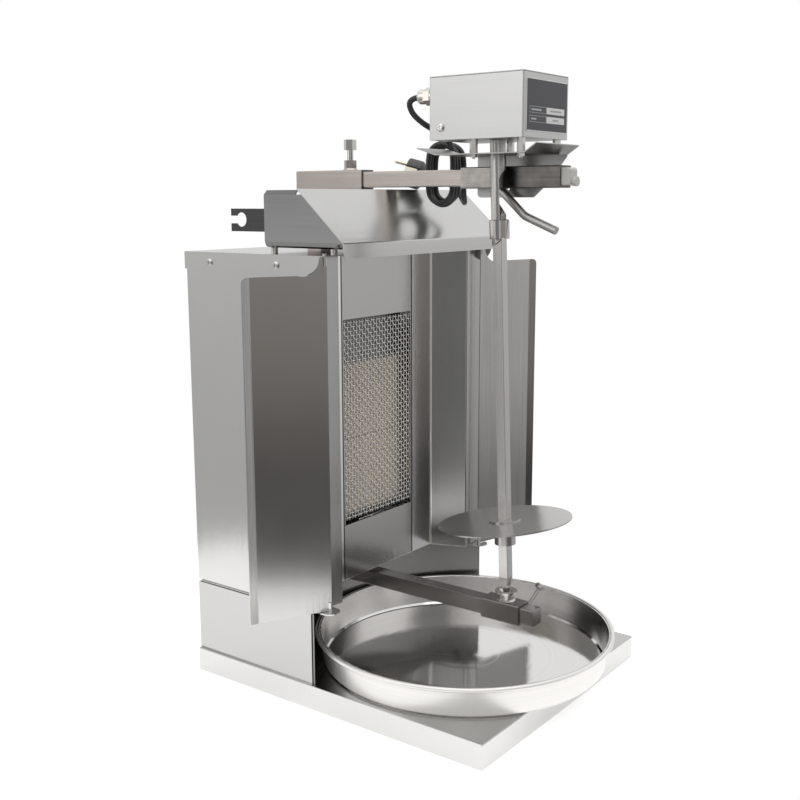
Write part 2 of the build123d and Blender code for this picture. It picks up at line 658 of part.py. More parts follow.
def drip_pan():
    """A spun pan: flat floor, flared wall and a rolled rim."""
    rim = 3
    wall = 1
    tip = pan_rim_radius - 2 * rim
    floor_z = base_height
    outline = [(0, floor_z), (pan_floor_radius - 3, floor_z), (pan_floor_radius, floor_z + 3), (tip, pan_rim_z - 1),
               (tip - wall, pan_rim_z - 1), (pan_floor_radius - wall - 0.5, floor_z + 3.6),
               (pan_floor_radius - 3.6, floor_z + wall), (0, floor_z + wall)]
    shell = revolve(make_face(Polyline(*[(x, 0, z) for x, z in outline], close=True)), Axis.Z)
    roll = revolve(Plane.XZ * Pos(pan_rim_radius - rim, pan_rim_z - rim + 0.5) * Circle(rim), Axis.Z)
    save("drip_pan", Pos(pan_x, pan_y, 0) * (shell + roll))


def drive():
    """Shaft, drive tube with its cut-away side, and the ring that closes it."""
    top = 666.5
    cut_top = 634
    tip = 547.6
    radius = tube_outer / 2
    tube = rod(radius, (0, 0, tip), (0, 0, top)) - rod(tube_inner / 2, (0, 0, tip - 1), (0, 0, 650))
    tube -= rod(4.02, (0, 0, 640), (0, 0, 670))
    arch = ThreePointArc((0.8, cut_top - 15), (-2.2, cut_top - 5), (-12, cut_top))
    sides = Polyline(arch @ 1, (-12, tip - 1), (0.8, tip - 1), arch @ 0)
    cut = extrude(Plane.YZ.offset(-20) * make_face([arch, sides]), 40)
    tongue = extrude(Plane.XZ * Pos(0, tip + radius) * Circle(radius), 20, both=True)
    keep = tongue + block(-20, 20, -20, 20, tip + radius, top + 1)
    tube = (tube & keep) - cut
    save("drive_tube", leaning(Rot(0, 0, 40) * tube))
    save("motor_shaft", leaning(rod(4, (0, 0, 651), (0, 0, 679))))
    ring = rod(collar_outer / 2, (0, 0, 555), (0, 0, 577))
    ring = chamfer(ring.edges().filter_by(GeomType.CIRCLE), 0.8)
    save("locking_collar", leaning(ring - rod(tube_outer / 2 + 0.1, (0, 0, 550), (0, 0, 580))))


def spit():
    half = spit_side / 2
    square_from = 147
    square_to = spit_top - 12
    bar = block(-half, half, -half, half, square_from, square_to)
    point = loft([Pos(0, 0, square_to) * Rectangle(spit_side, spit_side),
                  Pos(0, 0, spit_top) * Rectangle(1, 1)])
    foot = loft([Pos(0, 0, square_from) * Rectangle(spit_side, spit_side),
                 Pos(0, 0, spit_foot) * Rectangle(3, 3)])
    whole = bar + point + foot
    turned = block(-half, half, -half, half, spit_foot - 1, spit_top + 1)
    turned = chamfer(turned.edges().filter_by(Axis.Z), 0.4)
    save("spit_bar", leaning(whole & turned))

    hole = block(-half - 0.3, half + 0.3, -half - 0.3, half + 0.3, 180, 230)
    tilt = Pos(0, 0, disc_z) * Rot(-disc_tilt, 0, 0)
    disc = rod(disc_radius, (0, 0, -1.5), (0, 0, 0)) + rod(19, (0, 0, 0), (0, 0, 1.5))
    save("meat_disc", leaning(tilt * disc - hole))
    hub = rod(12.75, (0, 0, 189), (0, 0, disc_z + 2)) - hole - tilt * block(-30, 30, -30, 30, -1.5, 9)
    hub -= rod(2.6, (0, 0, 197), (20, 0, 197))
    save("disc_hub", leaning(hub))
    grub = rod(2.5, (half + 0.4, 0, 197), (19, 0, 197)) + rod(4.5, (16, 0, 197), (20, 0, 197))
    save("disc_set_screw", leaning(grub))


base()
lower_box()
housing()
cover()
hood()
burner()
arms()
lower_carriage()
motor_carriage()
cord()
wings()
drip_pan()
drive()
spit()
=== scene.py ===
import bpy
import numpy as np
from mathutils import Matrix, Vector


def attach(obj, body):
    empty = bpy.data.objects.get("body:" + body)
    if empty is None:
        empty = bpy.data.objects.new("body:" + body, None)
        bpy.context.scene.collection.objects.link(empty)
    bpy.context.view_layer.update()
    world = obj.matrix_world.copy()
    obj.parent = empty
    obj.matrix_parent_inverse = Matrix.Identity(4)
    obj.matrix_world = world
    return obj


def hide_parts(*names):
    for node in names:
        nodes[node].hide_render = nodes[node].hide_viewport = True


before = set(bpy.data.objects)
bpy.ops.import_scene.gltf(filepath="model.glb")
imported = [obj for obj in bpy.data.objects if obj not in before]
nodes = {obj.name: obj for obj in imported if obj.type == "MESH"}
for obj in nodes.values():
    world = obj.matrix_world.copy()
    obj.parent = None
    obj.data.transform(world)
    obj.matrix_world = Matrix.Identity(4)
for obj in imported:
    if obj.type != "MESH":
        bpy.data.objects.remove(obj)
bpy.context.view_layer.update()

scene = bpy.context.scene
scene.view_settings.view_transform = "Standard"


cameraData = {
    "place": (-1.0936, -0.7937, 0.6006),
    "heading": 53.08,    # degrees from +Y towards +X
    "pitch": -10.43,
    "roll": -0.19,
    "lens": 49.13,
}


def makeCamera(data):
    lens = bpy.data.cameras.new("camera")
    lens.lens = data["lens"]
    lens.sensor_width = 36
    lens.clip_start = 0.05
    lens.clip_end = 60
    camera = bpy.data.objects.new("camera", lens)
    scene.collection.objects.link(camera)
    turn = Matrix.Rotation(-np.radians(data["heading"]), 4, "Z")
    turn = turn @ Matrix.Rotation(np.radians(90 + data["pitch"]), 4, "X")
    turn = turn @ Matrix.Rotation(np.radians(data["roll"]), 4, "Z")
    camera.matrix_world = Matrix.Translation(data["place"]) @ turn
    scene.camera = camera


makeCamera(cameraData)


class Wire:
    # a node's output that can stand in a sum
    def __init__(self, tree, socket):
        self.tree = tree
        self.socket = socket

    def maths(self, operation, other=None, turned=False, clamp=False):
        node = self.tree.nodes.new("ShaderNodeMath")
        node.operation = operation
        node.use_clamp = clamp
        values = [self] if other is None else [self, other]
        if turned:
            values.reverse()
        for slot, value in zip(node.inputs, values):
            plug(self.tree, value, slot)
        return Wire(self.tree, node.outputs[0])

    def __add__(self, other):
        return self.maths("ADD", other)

    __radd__ = __add__

    def __sub__(self, other):
        return self.maths("SUBTRACT", other)

    def __rsub__(self, other):
        return self.maths("SUBTRACT", other, turned=True)

    def __mul__(self, other):
        return self.maths("MULTIPLY", other)

    __rmul__ = __mul__

    def __truediv__(self, other):
        return self.maths("DIVIDE", other)

    def __rtruediv__(self, other):
        return self.maths("DIVIDE", other, turned=True)

    def __gt__(self, other):
        return self.maths("GREATER_THAN", other)

    def __lt__(self, other):
        return self.maths("LESS_THAN", other)

    def size(self):
        return self.maths("ABSOLUTE")

    def wave(self):
        return self.maths("SINE")

    def clamped(self):
        return self.maths("ADD", 0.0, clamp=True)


def plug(tree, value, slot):
    # joins a wire to a socket, or writes a number, a vector or a colour on it
    if isinstance(value, Wire):
        tree.links.new(value.socket, slot)
    elif isinstance(value, (tuple, list)) and len(value) == 3 and len(slot.default_value) == 4:
        slot.default_value = (*value, 1)
    else:
        slot.default_value = value


class Finish:
    # a material with one Principled shader, or the nodes of a given tree, such as the world's
    def __init__(self, name, tree=None):
        self.tree = tree
        if tree is None:
            self.material = bpy.data.materials.new(name)
            self.material.use_nodes = True
            self.tree = self.material.node_tree
            self.tree.nodes.clear()
            self.shader = self.node("BsdfPrincipled")
            self.node("OutputMaterial", sockets={"Surface": self.shader})

    def node(self, kind, settings=None, sockets=None, out=0):
        # sockets are given by name or by number
        node = self.tree.nodes.new("ShaderNode" + kind)
        for key, value in (settings or {}).items():
            if key == "stops":
                ramp = node.color_ramp
                while len(ramp.elements) < len(value):
                    ramp.elements.new(0.5)
                for element, (place, colour) in zip(ramp.elements, value):
                    element.position = place
                    element.color = (*colour, 1) if isinstance(colour, tuple) else (colour,) * 3 + (1,)
            else:
                setattr(node, key, value)
        for key, value in (sockets or {}).items():
            plug(self.tree, value, node.inputs[key])
        return Wire(self.tree, node.outputs[out]) if node.outputs else None

    def set(self, values):
        for key, value in values.items():
            plug(self.tree, value, self.shader.socket.node.inputs[key])

    def place(self):
        return self.node("TexCoord", out="Object")

    def stretched(self, scale):
        return self.node("Mapping", sockets={"Vector": self.place(), "Scale": scale})

    def noise(self, scale, detail, vector=None, size=1.0):
        vector = vector or self.stretched(scale)
        return self.node("TexNoise", sockets={"Vector": vector, "Scale": size, "Detail": detail})

    def mix(self, factor, one, two):
        # a mix node's colours are its inputs 6 and 7 and its output 2
        return self.node("Mix", {"data_type": "RGBA"}, {"Factor": factor, 6: one, 7: two}, out=2)

    def vector(self, operation, *values):
        sockets = dict(enumerate(values))
        if operation == "SCALE":
            sockets = {0: values[0], "Scale": values[1]}
        out = "Value" if operation in ("DOT_PRODUCT", "LENGTH") else "Vector"
        return self.node("VectorMath", {"operation": operation}, sockets, out)

    def part(self, vector, axis):
        return self.node("SeparateXYZ", sockets={"Vector": vector}, out=axis)

    def bump(self, height, distance, strength):
        return self.node("Bump", sockets={"Height": height, "Distance": distance, "Strength": strength})


# diameter, length and exit are in metres, the rest in millimetres
cord = {
    "diameter": 0.007,
    "length": 0.803,
    "exit": (-0.020, -0.017, 0.718),
    "lead": [(-20, -17, 718), (-20.6, -1.5, 716.8), (-18, -3, 702), (-9, -12, 690), (6, -21, 681),
             (24, -25, 674), (39, -22.5, 665), (47.5, -19, 650), (47.5, -19, 636)],
    "tail": [(70.9, -19.8, 624), (70.9, -19.8, 606), (83.5, -13.5, 595), (98, -1.7, 597),
             (101.4, 9.6, 612), (95.6, 18.9, 619.7), (92.7, 25.1, 621.6)],
    "start": (47.5, -19),
    "halfTurns": [(20, 615.5), (19.6, 648.5), (20.6, 614), (20.2, 645.5), (19.2, 616.5), (20.4, 646.5)],
    "pitch": 7.8,
    "pointsPerHalf": 6,
    "hugging": 1.035,    # how far outside its turn a control point stands
}


def coilPoints(data):
    # tall loops side by side: each half turn, given as radius and the height where it starts,
    # is a half circle in y and z, its points pushed out a little, and moves half a pitch along x
    x, y = data["start"]
    points = []
    for k, (radius, height) in enumerate(data["halfTurns"]):
        side = 1 if k % 2 == 0 else -1
        reach = side * radius
        for angle in np.radians((np.arange(data["pointsPerHalf"]) + 0.5) * 180 / data["pointsPerHalf"]):
            points.append((x + data["pitch"] / 4 * (1 - np.cos(angle)),
                           y + reach - reach * data["hugging"] * np.cos(angle),
                           height - reach * data["hugging"] * np.sin(angle)))
        x += data["pitch"] / 2
        y += 2 * reach
    return points


def makeCord(data):
    points = np.array(data["lead"] + coilPoints(data) + data["tail"]) / 1000
    curve = bpy.data.curves.new("cord", "CURVE")
    curve.dimensions = "3D"
    curve.bevel_depth = data["diameter"] / 2
    curve.bevel_resolution = 4
    curve.resolution_u = 6
    curve.use_fill_caps = True
    spline = curve.splines.new("NURBS")
    spline.points.add(len(points) - 1)
    spline.points.foreach_set("co", np.c_[points, np.ones(len(points))].ravel())
    spline.order_u = 3
    spline.use_endpoint_u = True
    piece = bpy.data.objects.new("cord", curve)
    scene.collection.objects.link(piece)
    return piece


cordPiece = makeCord(cord)
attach(cordPiece, "motor_carriage")
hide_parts("cord_lead", "cord_coil", "cord_tail")
print("camera and cord made")


# for each way the grain can run: its direction, and the noise scales of single hairs and of bands
grainScales = {"x": ((1, 0, 0), (6, 2600, 2600), (2, 500, 500)),
               "y": ((0, 1, 0), (2600, 6, 2600), (500, 2, 500)),
               "z": ((0, 0, 1), (2600, 2600, 6), (500, 500, 2))}

# how deep the painted shade goes in gaps and along rims, and how much patches and bands change the roughness
steelLook = {
    "gapShadeDepth": 0.8,
    "rimShadeDepth": 0.6,
    "patchRough": 0.06,
    "bandRough": 0.02,
}

# sizes are noise scales along the radius and the height
turnedLook = {
    "grooveSize": 2200,
    "bandSize": 260,
    "patchSize": 12,
    "patchTone": 0.05,
    "patchRough": 0.05,
    "innerRough": 0.13,    # how much rougher the metal is beyond the radius wall
}


def steel(name, colour=(0.60, 0.595, 0.585), grain="z", rough=0.2, spread=0.16, streak=0.02, cloud=0.03,
          patchSize=9, gapShade=None, shadedBeyond=None, paintedShading=(), paintedShadingAxis=2, rimShade=None, topShade=1.0):
    # satin steel: the normal leans at random across the grain, so a reflection smears sideways
    # painted shade: a gap between parts, given as its distance from the middle and half width, is darkened;
    # past a given distance from the middle the tone drops to a given level; along one axis, tones at given
    # places paint light and shade
    finish = Finish(name)
    direction, hairScale, bandScale = grainScales[grain]
    hair = finish.noise(hairScale, 1.0)
    band = finish.noise(bandScale, 3.0)
    patch = finish.noise((patchSize,) * 3, 3.0)
    normal = finish.node("NewGeometry", out="Normal")
    across = finish.vector("CROSS_PRODUCT", normal, direction)
    lean = (hair - 0.5) * (2 * spread)
    tilted = finish.vector("ADD", normal, finish.vector("SCALE", across, lean))
    tone = (0.5 - band) * streak + (patch - 0.5) * cloud + 1.0
    if gapShade:
        # painted shade in a gap between parts
        shadedGap = (finish.part(finish.place(), 0).size() - gapShade[0]).size() < gapShade[1]
        tone = tone * (1.0 - shadedGap * steelLook["gapShadeDepth"])
    if shadedBeyond:
        # painted shade past this distance from the middle
        outside = finish.part(finish.place(), 0).size() > shadedBeyond[0]
        tone = tone * (1.0 - outside * (1 - shadedBeyond[1]))
    if paintedShading:
        # painted light and shade, in straight runs between the given places
        height = finish.part(finish.place(), paintedShadingAxis)
        level = paintedShading[0][1]
        for (low, one), (high, two) in zip(paintedShading, paintedShading[1:]):
            level = ((height - low) * (1 / (high - low))).clamped() * (two - one) + level
        tone = tone * level
    if rimShade:
        # painted shade: the dark line where a side face meets the folded top
        onSide = finish.part(normal, 2) < 0.5
        tone = tone * (1.0 - onSide * (finish.part(finish.place(), 2) > rimShade) * steelLook["rimShadeDepth"])
    if topShade < 1:
        # painted shade: flat tops are darker than upright faces
        onTop = finish.part(normal, 2) > 0.7
        tone = tone * (1.0 - onTop * (1 - topShade))
    roughness = (patch - 0.5) * steelLook["patchRough"] + (band - 0.5) * steelLook["bandRough"] + rough
    finish.set({"Base Color": finish.vector("SCALE", colour, tone), "Metallic": 1.0,
                "Normal": finish.vector("NORMALIZE", tilted), "Roughness": roughness})
    return finish.material


def lathed(name, centre, colour, rough, spread, streak=0.05, wall=10.0, wallLitColour=None, wallRough=0.3,
           wallMetal=1.0):
    # turned or spun steel: grooves are rings round the centre, so the normal leans in and out,
    # and the light gathers in a fan of rays; outside the radius wall the metal is rougher, and its
    # outer face has a roughness of its own and, as painted light, a lighter colour and a lower metalness
    finish = Finish(name)
    spoke = finish.vector("SUBTRACT", finish.place(), centre)
    spoke = finish.vector("MULTIPLY", spoke, (1, 1, 0))
    radius = finish.vector("LENGTH", spoke)
    height = finish.part(finish.place(), 2)
    rings = finish.node("CombineXYZ", sockets={"X": radius, "Y": height})
    groove = finish.noise(None, 1.0, vector=rings, size=turnedLook["grooveSize"])
    band = finish.noise(None, 3.0, vector=rings, size=turnedLook["bandSize"])
    patch = finish.noise((turnedLook["patchSize"],) * 3, 3.0)
    normal = finish.node("NewGeometry", out="Normal")
    ring = finish.vector("CROSS_PRODUCT", finish.vector("NORMALIZE", spoke), (0, 0, 1))
    outward = finish.vector("CROSS_PRODUCT", ring, normal)
    tilted = finish.vector("ADD", normal, finish.vector("SCALE", outward, (groove - 0.5) * (2 * spread)))
    tone = (0.5 - band) * streak + (patch - 0.5) * turnedLook["patchTone"] + 1.0
    onWall = radius > wall
    outerFace = onWall * (finish.vector("DOT_PRODUCT", normal, spoke) > 0.0)
    shade = finish.mix(outerFace, colour, wallLitColour or colour)
    innerRough = turnedLook["innerRough"]
    roughness = (patch - 0.5) * turnedLook["patchRough"] + onWall * innerRough
    roughness = roughness + outerFace * (wallRough - rough - innerRough) + rough
    finish.set({"Base Color": finish.vector("SCALE", shade, tone),
                "Metallic": 1.0 - outerFace * (1 - wallMetal),
                "Normal": finish.vector("NORMALIZE", tilted), "Roughness": roughness})
    return finish.material


ceramicData = {
    "colour": (0.97, 0.85, 0.70),
    "holePitch": 0.0012,
    "holeSize": 0.55,    # the higher, the smaller the holes
    "holeDepth": 0.0006,
    "holeShade": 0.15,    # how much darker the holes are, as painted shade
    "grainSize": 1500,
    "patchSize": 40,
}


def ceramic(name, data):
    # burner tile: flame holes, painted darker as shade in them, where sin(pi x / pitch) * sin(pi z / pitch)
    # is far from 0, and slightly uneven colour
    finish = Finish(name)
    place = finish.place()
    step = np.pi / data["holePitch"]
    dots = (finish.part(place, 0) * step).wave() * (finish.part(place, 2) * step).wave()
    hole = dots.size() > data["holeSize"]
    grain = finish.noise((data["grainSize"],) * 3, 3.0)
    patch = finish.noise((data["patchSize"],) * 3, 3.0)
    tone = (grain - 0.5) * 0.12 + (patch - 0.5) * 0.16 + 1.02 - hole * data["holeShade"]
    finish.set({"Base Color": finish.vector("SCALE", data["colour"], tone), "Roughness": 0.9,
                "Normal": finish.bump(grain * 0.3 - hole, data["holeDepth"], 0.8)})
    return finish.material


# corner and size are in metres; boxes are fractions of the size: left, right, low, high
labelData = {
    "corner": (-0.033, 0.6735),
    "size": (0.093, 0.057),
    "printed": (0.014, 0.986, 0.022, 0.978),
    "dark": (0.055, 0.056, 0.063),
    "light": (0.74, 0.74, 0.74),
    "frameWidth": 0.006,
    "frameTone": 0.45,
    "lightBarTone": 0.55,
    "darkBarTone": 0.5,
    "lightBoxes": [(0.48, 0.92, 0.35, 0.475), (0.48, 0.92, 0.175, 0.30)],
    "frames": [(0.08, 0.47, 0.35, 0.475), (0.08, 0.47, 0.175, 0.30)],
    "lightBars": [(0.12, 0.36, 0.395, 0.43), (0.12, 0.24, 0.22, 0.255)],
    "darkBars": [(0.57, 0.84, 0.395, 0.43), (0.63, 0.77, 0.22, 0.255)],
}


def labelPrint(name, data):
    # a printed rating plate with its words left out: fields, frames and plain bars
    finish = Finish(name)
    place = finish.place()
    across = (finish.part(place, 0) - data["corner"][0]) / data["size"][0]
    up = (finish.part(place, 2) - data["corner"][1]) / data["size"][1]

    def field(box, grow=0.0):
        left, right, low, high = box
        halfX = (right - left) / 2 + grow
        halfZ = (high - low) / 2 + grow * data["size"][0] / data["size"][1]
        inX = (across - (left + right) / 2).size() < halfX
        return inX * ((up - (low + high) / 2).size() < halfZ)

    light = 1.0 - field(data["printed"])
    for box in data["lightBoxes"]:
        light = light + field(box)
    for box in data["frames"]:
        light = light + (field(box) - field(box, -data["frameWidth"])) * data["frameTone"]
    for box in data["lightBars"]:
        light = light + field(box) * data["lightBarTone"]
    for box in data["darkBars"]:
        light = light - field(box) * data["darkBarTone"]
    grain = finish.noise((900, 900, 900), 2.0)
    finish.set({"Base Color": finish.mix(light.clamped(), data["dark"], data["light"]),
                "Roughness": (grain - 0.5) * 0.1 + 0.42, "Normal": finish.bump(grain, 0.00002, 0.5)})
    return finish.material


def plain(name, colour, rough, metal=0.0, size=900, relief=0.00003):
    # one colour with fine speckle, uneven gloss and a little relief
    finish = Finish(name)
    grain = finish.noise((size,) * 3, 3.0)
    patch = finish.noise((30,) * 3, 2.0)
    tone = (grain - 0.5) * 0.12 + (patch - 0.5) * 0.06 + 1.0
    finish.set({"Base Color": finish.vector("SCALE", colour, tone), "Metallic": metal,
                "Roughness": (patch - 0.5) * 0.12 + rough, "Normal": finish.bump(grain, relief, 0.6)})
    return finish.material


panCentre = (0.003, -0.070, 0)
discCentre = (0, -0.130, 0)

finishes = {
    "sheet": steel("satinSheet"),
    "sheetAlongX": steel("satinSheetAcross", grain="x"),
    "hood": steel("hoodSheet", grain="x", rough=0.23, spread=0.10),
    # painted shade: a darker top, and a dark line where the sides meet the top
    "box": steel("motorBox", colour=(0.575, 0.572, 0.567), grain="y", rough=0.34, spread=0.05, streak=0.0,
                 topShade=0.62, rimShade=0.7362),
    "wall": steel("lowerWall", colour=(0.25, 0.247, 0.24)),
    # painted shade: a darker top
    "base": steel("baseSheet", colour=(0.65, 0.645, 0.635), grain="x", topShade=0.84),
    "shell": steel("shellSheet", colour=(0.50, 0.495, 0.49)),
    "shield": steel("shieldSheet", colour=(0.40, 0.395, 0.39), grain="y", rough=0.36, spread=0.06),
    "wing": steel("wingSheet", colour=(0.57, 0.565, 0.555)),
    # painted shade: the right wing darkens towards the bottom
    "wingRight": steel("rightWingSheet", colour=(0.57, 0.56, 0.545),
                       paintedShading=((0.20, 0.50), (0.27, 0.72), (0.36, 0.90), (0.50, 0.92))),
    # painted light and shade: the colour is raised so the strip shows a brighter reflection, the flare and
    # its return past 0.1165 are painted darker like a dark reflection, the sheet darkens towards the bottom,
    # and the gap by the panel is painted shade
    "column": steel("columnSheet", colour=(0.92, 0.91, 0.895), spread=0.07, gapShade=(0.0728, 0.0006),
                    paintedShading=((0.14, 0.66), (0.20, 0.72), (0.30, 0.88), (0.44, 0.98)), shadedBeyond=(0.1165, 0.51)),
    # painted shade in the gap by the column, and darker towards the bottom
    "panel": steel("panelSheet", colour=(0.54, 0.535, 0.525), gapShade=(0.0721, 0.0012),
                   paintedShading=((0.15, 0.62), (0.20, 0.75), (0.30, 0.95))),
    # painted highlight and shade: bright and dark bands along the lower bend, and a darker top
    "tray": steel("hoodTray", colour=(0.50, 0.50, 0.50), grain="y", rough=0.12, spread=0.06, topShade=0.6,
                  paintedShading=((0.5385, 0.40), (0.5405, 1.4), (0.544, 0.9), (0.546, 0.35), (0.5485, 0.75),
                        (0.60, 0.60))),
    "handle": steel("handleBar", colour=(0.50, 0.49, 0.48), grain="y", rough=0.42, spread=0.05),
    "bracket": steel("bracketSheet", colour=(0.09, 0.09, 0.09), grain="y"),
    "arm": steel("millTube", colour=(0.45, 0.405, 0.375), grain="y", rough=0.26, spread=0.12, cloud=0.12,
                 patchSize=25),
    "lowerArm": steel("darkTube", colour=(0.30, 0.285, 0.275), grain="y", rough=0.24, spread=0.10),
    # painted light and shade along y: lighter behind the drive tube, darker just in front of it
    "sleeve": steel("darkSleeve", colour=(0.13, 0.122, 0.114), grain="y", rough=0.28, spread=0.10, cloud=1.0,
                    patchSize=70, paintedShadingAxis=1,
                    paintedShading=((-0.140, 1.1), (-0.119, 0.4), (-0.108, 0.5), (-0.100, 2.2), (-0.085, 2.9))),
    "lowerSleeve": steel("lowerSleeve", colour=(0.26, 0.25, 0.24), grain="y", rough=0.22, spread=0.10),
    "upright": steel("satinUpright", colour=(0.53, 0.515, 0.50), rough=0.24, spread=0.12),
    "spit": steel("spitBar", colour=(0.55, 0.535, 0.52), rough=0.22, spread=0.08),
    "polished": steel("polishedSteel", colour=(0.55, 0.53, 0.51), rough=0.16, spread=0.05),
    "disc": lathed("turnedDisc", discCentre, (0.52, 0.51, 0.50), rough=0.22, spread=0.08),
    # painted light: the outer face of the pan's wall is lighter and less metallic, standing in for the
    # bright reflection it shows
    "pan": lathed("spunPan", panCentre, (0.74, 0.73, 0.715), rough=0.07, spread=0.06, streak=0.14,
                  wall=0.1765, wallLitColour=(0.84, 0.825, 0.80), wallRough=0.36, wallMetal=0.7),
    "zinc": plain("brightZinc", (0.62, 0.61, 0.58), rough=0.16, metal=1.0, relief=0.00001),
    "wire": plain("guardWire", (0.76, 0.745, 0.72), rough=0.3, metal=1.0),
    "nickel": plain("nickelPlate", (0.70, 0.67, 0.61), rough=0.2, metal=1.0),
    "brass": plain("turnedBrass", (0.72, 0.55, 0.26), rough=0.28, metal=1.0),
    "pin": plain("plugPin", (0.78, 0.72, 0.60), rough=0.2, metal=1.0),
    "cord": plain("cordRubber", (0.027, 0.027, 0.028), rough=0.38, size=1500),
    "plug": plain("plugRubber", (0.055, 0.058, 0.056), rough=0.5),
    "knob": plain("knobPlastic", (0.025, 0.025, 0.026), rough=0.45),
    "cap": plain("capPlastic", (0.55, 0.54, 0.51), rough=0.4),
    "motor": plain("motorPaint", (0.12, 0.12, 0.125), rough=0.5),
    "burnerMetal": steel("dullSteel", colour=(0.33, 0.325, 0.315), rough=0.38, spread=0.1),
    "ceramic": ceramic("burnerCeramic", ceramicData),
    "label": labelPrint("labelPrint", labelData),
}

nodeFinishes = {
    "shell": "lower_shell",
    "shield": "drip_shield bracket_plate",
    "sheet": "side_panel_left side_panel_right back_panel",
    "sheetAlongX": "top_cover housing_floor lower_deck",
    "hood": "hood_front",
    "base": "base_tray",
    "box": "motor_box_lid motor_box_floor",
    "wall": "lower_front_wall",
    "wing": "wing_left",
    "wingRight": "wing_right",
    "column": "front_column_left front_column_right",
    "panel": "burner_panel",
    "tray": "hood_pan",
    "bracket": "fork_bracket",
    "arm": "upper_arm upper_arm_sleeve arm_post",
    "lowerArm": "lower_arm",
    "sleeve": "carriage_sleeve",
    "lowerSleeve": "lower_carriage_sleeve",
    "handle": "carriage_handle carriage_clamp_handle",
    "upright": "drive_tube motor_shaft disc_hub",
    "spit": "spit_bar",
    "polished": "locking_collar bearing_cup",
    "disc": "meat_disc",
    "pan": "drip_pan",
    "zinc": "cover_screws motor_box_screws hood_spacers shield_standoffs arm_clamp_screw disc_set_screw "
            "wing_pins_left wing_pins_right",
    "wire": "burner_mesh",
    "nickel": "cable_gland",
    "brass": "gas_pipe gas_valve gas_inlet",
    "plug": "power_plug",
    "knob": "gas_knob",
    "cap": "upper_arm_cap",
    "motor": "gear_motor",
    "burnerMetal": "burner_body",
    "ceramic": "ceramic_tiles",
    "label": "label_plate",
}


def dressNodes():
    # each finish goes on the slots of its CAD nodes
    for finish, names in nodeFinishes.items():
        for name in names.split():
            for slot in nodes[name].material_slots:
                slot.material = finishes[finish]


dressNodes()
cordPiece.data.materials.append(finishes["cord"])
print("finishes given")


def makePiece(name, verts, faces, finish, sharp=35):
    # a mesh object at the origin, its faces turned outwards, smooth up to the angle sharp
    verts = np.asarray(verts, float)
    corners = [(verts[f[0]], verts[f[k]], verts[f[k + 1]]) for f in faces for k in range(1, len(f) - 1)]
    a, b, c = np.array(corners).transpose(1, 0, 2)
    if np.einsum("ij,ij->i", a, np.cross(b, c)).sum() < 0:
        faces = [f[::-1] for f in faces]
    mesh = bpy.data.meshes.new(name)
    mesh.from_pydata(verts.tolist(), [], [[int(i) for i in f] for f in faces])
    mesh.materials.append(finish)
    mesh.shade_smooth()
    mesh.set_sharp_from_angle(angle=np.radians(sharp))
    piece = bpy.data.objects.new(name, mesh)
    scene.collection.objects.link(piece)
    return piece


def ringFaces(rows, sides, first=0):
    # quads between neighbouring rings of points, and flat end caps
    row = np.arange(rows - 1)[:, None] * sides
    here = np.arange(sides)[None, :]
    after = (here + 1) % sides
    quads = np.stack([row + here, row + after, row + sides + after, row + sides + here], -1)
    faces = (quads.reshape(-1, 4) + first).tolist()
    faces.append([first + i for i in range(sides)][::-1])
    faces.append([first + (rows - 1) * sides + i for i in range(sides)])
    return faces


guard = {
    "pitch": (0.0058, 0.0053),    # between upright wires and between level wires
    "wire": 0.00075,     # radius
    "middle": 0.0654,    # y of the woven layer
    "columns": 25,
    "rows": 48,
    "bottom": 0.2008,
    "stepsPerPitch": 4,
    "sides": 6,
}


def makeGuard(data):
    # plain weave: every wire is y = middle + wire * cos(pi * distance / pitch), with the sign turned
    # over from one wire to the next, so that upright and level wires pass on opposite sides;
    # each ends half a pitch beyond the last wire that it crosses
    (pitchX, pitchZ), sides = data["pitch"], data["sides"]
    circle = np.radians(np.arange(sides) * 360 / sides)
    verts, faces = [], []
    halfX = (data["columns"] - 1) / 2
    ring = data["wire"] * np.stack([np.cos(circle), np.sin(circle)])
    steps = data["stepsPerPitch"]
    counts = {True: data["columns"], False: data["rows"]}
    for upright in (True, False):
        count, other = counts[upright], counts[not upright]
        along = np.arange(-(steps // 2), (other - 1) * steps + steps // 2 + 1) / steps
        for k in range(count):
            sign = (1 if upright else -1) * (-1) ** k
            y = data["middle"] + sign * data["wire"] * np.cos(np.pi * along)
            if upright:
                x = (k - halfX) * pitchX + ring[0]
                points = np.stack(np.broadcast_arrays(x[None, :], y[:, None] + ring[1][None, :],
                                                      (data["bottom"] + along * pitchZ)[:, None]), -1)
            else:
                z = data["bottom"] + k * pitchZ + ring[0]
                points = np.stack(np.broadcast_arrays(((along - halfX) * pitchX)[:, None],
                                                      y[:, None] - ring[1][None, :], z[None, :]), -1)
            faces += ringFaces(len(along), sides, len(verts))
            verts += points.reshape(-1, 3).tolist()
    piece = makePiece("guardMesh", verts, faces, finishes["wire"], sharp=80)
    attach(piece, "frame")
    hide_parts("burner_mesh")


makeGuard(guard)
print("guard mesh made")


def roundedLine(points, radius, steps=7):
    # a line whose corners are arcs of this radius, each with this many points
    out, points = [np.array(points[0], float)], np.array(points, float)
    for before, corner, after in zip(points, points[1:], points[2:]):
        one = (before - corner) / np.linalg.norm(before - corner)
        two = (after - corner) / np.linalg.norm(after - corner)
        half = np.arccos(np.clip(one @ two, -1, 1)) / 2
        centre = corner + (one + two) / np.linalg.norm(one + two) * radius / np.sin(half)
        start, end = corner + one * radius / np.tan(half), corner + two * radius / np.tan(half)
        for t in np.linspace(0, 1, steps):
            spoke = (start - centre) * (1 - t) + (end - centre) * t
            out.append(centre + spoke / np.linalg.norm(spoke) * radius)
    out.append(points[-1])
    return np.array(out)


